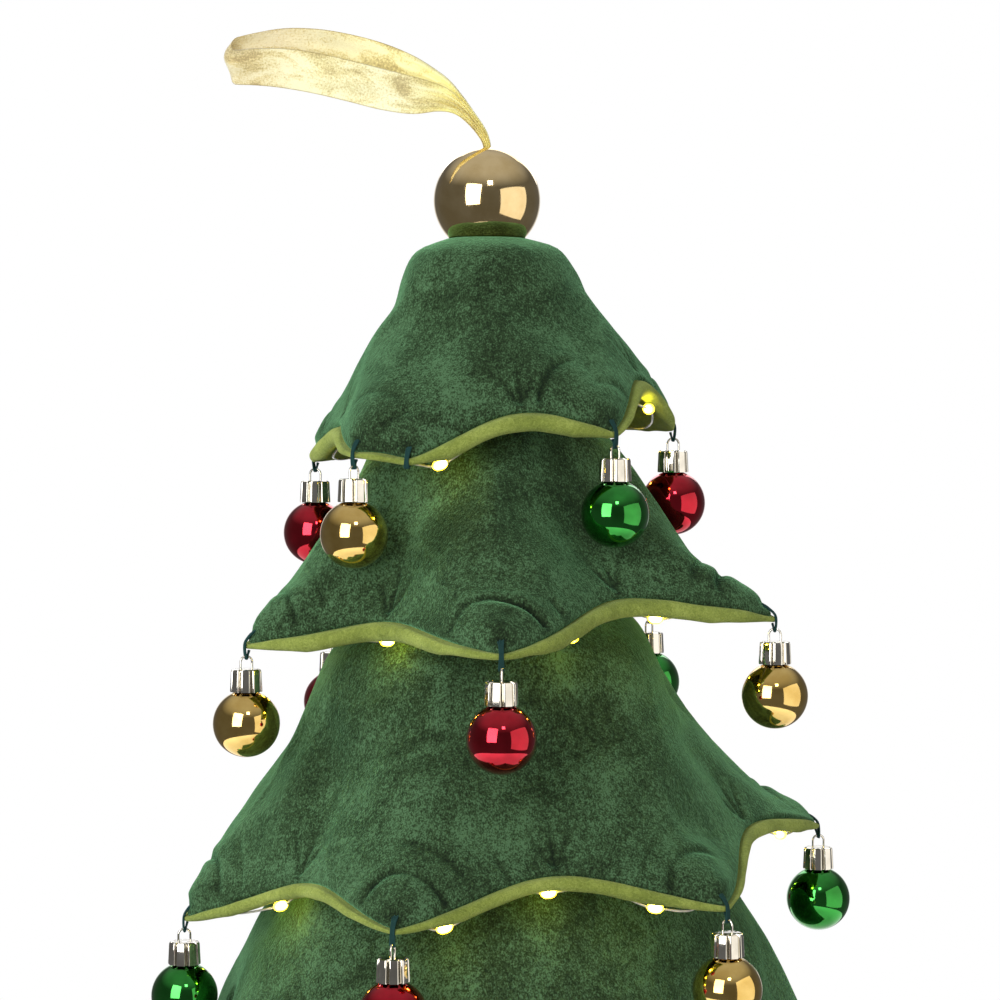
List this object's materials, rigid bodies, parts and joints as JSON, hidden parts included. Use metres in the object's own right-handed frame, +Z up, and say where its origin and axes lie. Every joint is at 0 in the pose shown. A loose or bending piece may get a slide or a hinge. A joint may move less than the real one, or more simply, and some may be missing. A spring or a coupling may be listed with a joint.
{
  "type": "tabletop christmas tree",
  "caption": "Tiered tabletop christmas tree of padded green velvet skirts with hanging baubles, a warm light string, a gold top ball with a ribbon loop, and a battery base.",
  "frame": {"origin": "centre of the underside of the round base, where the tree stands", "axes": "+Z up along the trunk, -Y towards the viewer of the picture, +X to that viewer's right"},
  "size_m": [0.3058, 0.3096, 0.4871],
  "materials": {
    "velvet": "deep green crushed velvet",
    "felt": "light green felt",
    "core_cloth": "dark green woven cotton over stuffing",
    "wood": "turned and oiled wood",
    "ball_red": "red mirror plating",
    "ball_gold": "gold mirror plating",
    "ball_green": "green mirror plating",
    "ball_champagne": "champagne gold mirror plating",
    "cap_silver": "silver mirror plating",
    "ribbon": "sheer gold organza with metallic threads",
    "light_wire": "clear wire with warm white lights",
    "black_plastic": "moulded black plastic",
    "cell_steel": "plain wrapped battery cell"
  },
  "bodies": {
    "tree": {"stand": "wood", "core": "core_cloth", "top_ball": "ball_champagne", "ribbon": "ribbon", "light_string": "light_wire", "battery_box": "black_plastic", "battery_cell_1": "cell_steel", "battery_cell_2": "cell_steel", "tier_1_skirt": "velvet", "tier_1_lining": "felt", "tier_2_skirt": "velvet", "tier_2_lining": "felt", "tier_3_skirt": "velvet", "tier_3_lining": "felt", "tier_4_skirt": "velvet", "tier_4_lining": "felt"},
    "tier_1_bauble_1": {"tier_1_bauble_1_ball": "ball_red", "tier_1_bauble_1_cap": "cap_silver"},
    "tier_1_bauble_2": {"tier_1_bauble_2_ball": "ball_gold", "tier_1_bauble_2_cap": "cap_silver"},
    "tier_1_bauble_3": {"tier_1_bauble_3_ball": "ball_green", "tier_1_bauble_3_cap": "cap_silver"},
    "tier_1_bauble_4": {"tier_1_bauble_4_ball": "ball_red", "tier_1_bauble_4_cap": "cap_silver"},
    "tier_1_bauble_5": {"tier_1_bauble_5_ball": "ball_gold", "tier_1_bauble_5_cap": "cap_silver"},
    "tier_2_bauble_1": {"tier_2_bauble_1_ball": "ball_red", "tier_2_bauble_1_cap": "cap_silver"},
    "tier_2_bauble_2": {"tier_2_bauble_2_ball": "ball_gold", "tier_2_bauble_2_cap": "cap_silver"},
    "tier_2_bauble_3": {"tier_2_bauble_3_ball": "ball_red", "tier_2_bauble_3_cap": "cap_silver"},
    "tier_2_bauble_4": {"tier_2_bauble_4_ball": "ball_gold", "tier_2_bauble_4_cap": "cap_silver"},
    "tier_2_bauble_5": {"tier_2_bauble_5_ball": "ball_green", "tier_2_bauble_5_cap": "cap_silver"},
    "tier_3_bauble_1": {"tier_3_bauble_1_ball": "ball_gold", "tier_3_bauble_1_cap": "cap_silver"},
    "tier_3_bauble_2": {"tier_3_bauble_2_ball": "ball_green", "tier_3_bauble_2_cap": "cap_silver"},
    "tier_3_bauble_3": {"tier_3_bauble_3_ball": "ball_red", "tier_3_bauble_3_cap": "cap_silver"},
    "tier_3_bauble_4": {"tier_3_bauble_4_ball": "ball_gold", "tier_3_bauble_4_cap": "cap_silver"},
    "tier_3_bauble_5": {"tier_3_bauble_5_ball": "ball_green", "tier_3_bauble_5_cap": "cap_silver"},
    "tier_3_bauble_6": {"tier_3_bauble_6_ball": "ball_red", "tier_3_bauble_6_cap": "cap_silver"},
    "tier_4_bauble_1": {"tier_4_bauble_1_ball": "ball_red", "tier_4_bauble_1_cap": "cap_silver"},
    "tier_4_bauble_2": {"tier_4_bauble_2_ball": "ball_gold", "tier_4_bauble_2_cap": "cap_silver"},
    "tier_4_bauble_3": {"tier_4_bauble_3_ball": "ball_green", "tier_4_bauble_3_cap": "cap_silver"},
    "tier_4_bauble_4": {"tier_4_bauble_4_ball": "ball_red", "tier_4_bauble_4_cap": "cap_silver"},
    "tier_4_bauble_5": {"tier_4_bauble_5_ball": "ball_gold", "tier_4_bauble_5_cap": "cap_silver"},
    "battery_door": {"battery_door": "black_plastic"},
    "switch": {"switch": "black_plastic"}
  },
  "joints": [
    {"name": "tier_1_bauble_1_swing", "type": "hinge", "parent": "tree", "child": "tier_1_bauble_1", "pos_m": [-0.06604, 0.02668, 0.32185], "axis": [0.3746, 0.9272, 0], "range_deg": [-3, 60]},
    {"name": "tier_1_bauble_2_swing", "type": "hinge", "parent": "tree", "child": "tier_1_bauble_2", "pos_m": [-0.04722, -0.05432, 0.32405], "axis": [-0.7547, 0.6561, 0], "range_deg": [-5, 60]},
    {"name": "tier_1_bauble_3_swing", "type": "hinge", "parent": "tree", "child": "tier_1_bauble_3", "pos_m": [0.04594, -0.05474, 0.33137], "axis": [-0.766, -0.6428, 0], "range_deg": [-4, 60]},
    {"name": "tier_1_bauble_4_swing", "type": "hinge", "parent": "tree", "child": "tier_1_bauble_4", "pos_m": [0.07065, 0.01502, 0.33358], "axis": [0.2079, -0.9781, 0], "range_deg": [-3, 60]},
    {"name": "tier_1_bauble_5_swing", "type": "hinge", "parent": "tree", "child": "tier_1_bauble_5", "pos_m": [0.00993, 0.07069, 0.32844], "axis": [0.9903, -0.1392, 0], "range_deg": [-7, 60]},
    {"name": "tier_2_bauble_1_swing", "type": "hinge", "parent": "tree", "child": "tier_2_bauble_1", "pos_m": [-0.06186, 0.07918, 0.25217], "axis": [0.788, 0.6157, 0], "range_deg": [-45, 60]},
    {"name": "tier_2_bauble_2_swing", "type": "hinge", "parent": "tree", "child": "tier_2_bauble_2", "pos_m": [-0.08714, -0.0388, 0.25481], "axis": [-0.4067, 0.9135, 0], "range_deg": [-40, 60]},
    {"name": "tier_2_bauble_3_swing", "type": "hinge", "parent": "tree", "child": "tier_2_bauble_3", "pos_m": [0.00537, -0.10247, 0.25578], "axis": [-0.9986, -0.0523, 0], "range_deg": [-45, 60]},
    {"name": "tier_2_bauble_4_swing", "type": "hinge", "parent": "tree", "child": "tier_2_bauble_4", "pos_m": [0.1057, -0.02635, 0.26393], "axis": [-0.2419, -0.9703, 0], "range_deg": [-45, 60]},
    {"name": "tier_2_bauble_5_swing", "type": "hinge", "parent": "tree", "child": "tier_2_bauble_5", "pos_m": [0.0647, 0.0771, 0.26024], "axis": [0.766, -0.6428, 0], "range_deg": [-45, 60]},
    {"name": "tier_3_bauble_1_swing", "type": "hinge", "parent": "tree", "child": "tier_3_bauble_1", "pos_m": [-0.08285, 0.08579, 0.15159], "axis": [0.7193, 0.6947, 0], "range_deg": [-15, 60]},
    {"name": "tier_3_bauble_2_swing", "type": "hinge", "parent": "tree", "child": "tier_3_bauble_2", "pos_m": [-0.11102, -0.02768, 0.15374], "axis": [-0.2419, 0.9703, 0], "range_deg": [-16, 60]},
    {"name": "tier_3_bauble_3_swing", "type": "hinge", "parent": "tree", "child": "tier_3_bauble_3", "pos_m": [-0.03158, -0.11013, 0.16246], "axis": [-0.9613, 0.2756, 0], "range_deg": [-28, 60]},
    {"name": "tier_3_bauble_4_swing", "type": "hinge", "parent": "tree", "child": "tier_3_bauble_4", "pos_m": [0.08387, -0.08685, 0.16689], "axis": [-0.7193, -0.6947, 0], "range_deg": [-45, 60]},
    {"name": "tier_3_bauble_5_swing", "type": "hinge", "parent": "tree", "child": "tier_3_bauble_5", "pos_m": [0.128, 0.03191, 0.18013], "axis": [0.2419, -0.9703, 0], "range_deg": [-45, 60]},
    {"name": "tier_3_bauble_6_swing", "type": "hinge", "parent": "tree", "child": "tier_3_bauble_6", "pos_m": [0.03364, 0.11733, 0.17236], "axis": [0.9613, -0.2756, 0], "range_deg": [-45, 60]},
    {"name": "tier_4_bauble_1_swing", "type": "hinge", "parent": "tree", "child": "tier_4_bauble_1", "pos_m": [-0.13012, 0.06918, 0.04503], "axis": [0.4695, 0.8829, 0], "range_deg": [-45, 60]},
    {"name": "tier_4_bauble_2_swing", "type": "hinge", "parent": "tree", "child": "tier_4_bauble_2", "pos_m": [-0.10841, -0.09761, 0.04654], "axis": [-0.6691, 0.7431, 0], "range_deg": [-45, 60]},
    {"name": "tier_4_bauble_3_swing", "type": "hinge", "parent": "tree", "child": "tier_4_bauble_3", "pos_m": [0.03601, -0.14445, 0.04504], "axis": [-0.9703, -0.2419, 0], "range_deg": [-45, 60]},
    {"name": "tier_4_bauble_4_swing", "type": "hinge", "parent": "tree", "child": "tier_4_bauble_4", "pos_m": [0.15159, -0.0106, 0.05109], "axis": [-0.0698, -0.9976, 0], "range_deg": [-45, 60]},
    {"name": "tier_4_bauble_5_swing", "type": "hinge", "parent": "tree", "child": "tier_4_bauble_5", "pos_m": [0.04602, 0.14162, 0.04806], "axis": [0.9511, -0.309, 0], "range_deg": [-45, 60]},
    {"name": "battery_door_hinge", "type": "hinge", "parent": "tree", "child": "battery_door", "pos_m": [0, 0.0196, 0.0016], "axis": [-1, 0, 0], "range_deg": [0, 90]},
    {"name": "switch_slide", "type": "slide", "parent": "tree", "child": "switch", "axis": [1, 0, 0], "range_m": [0, 0.003]}
  ]
}
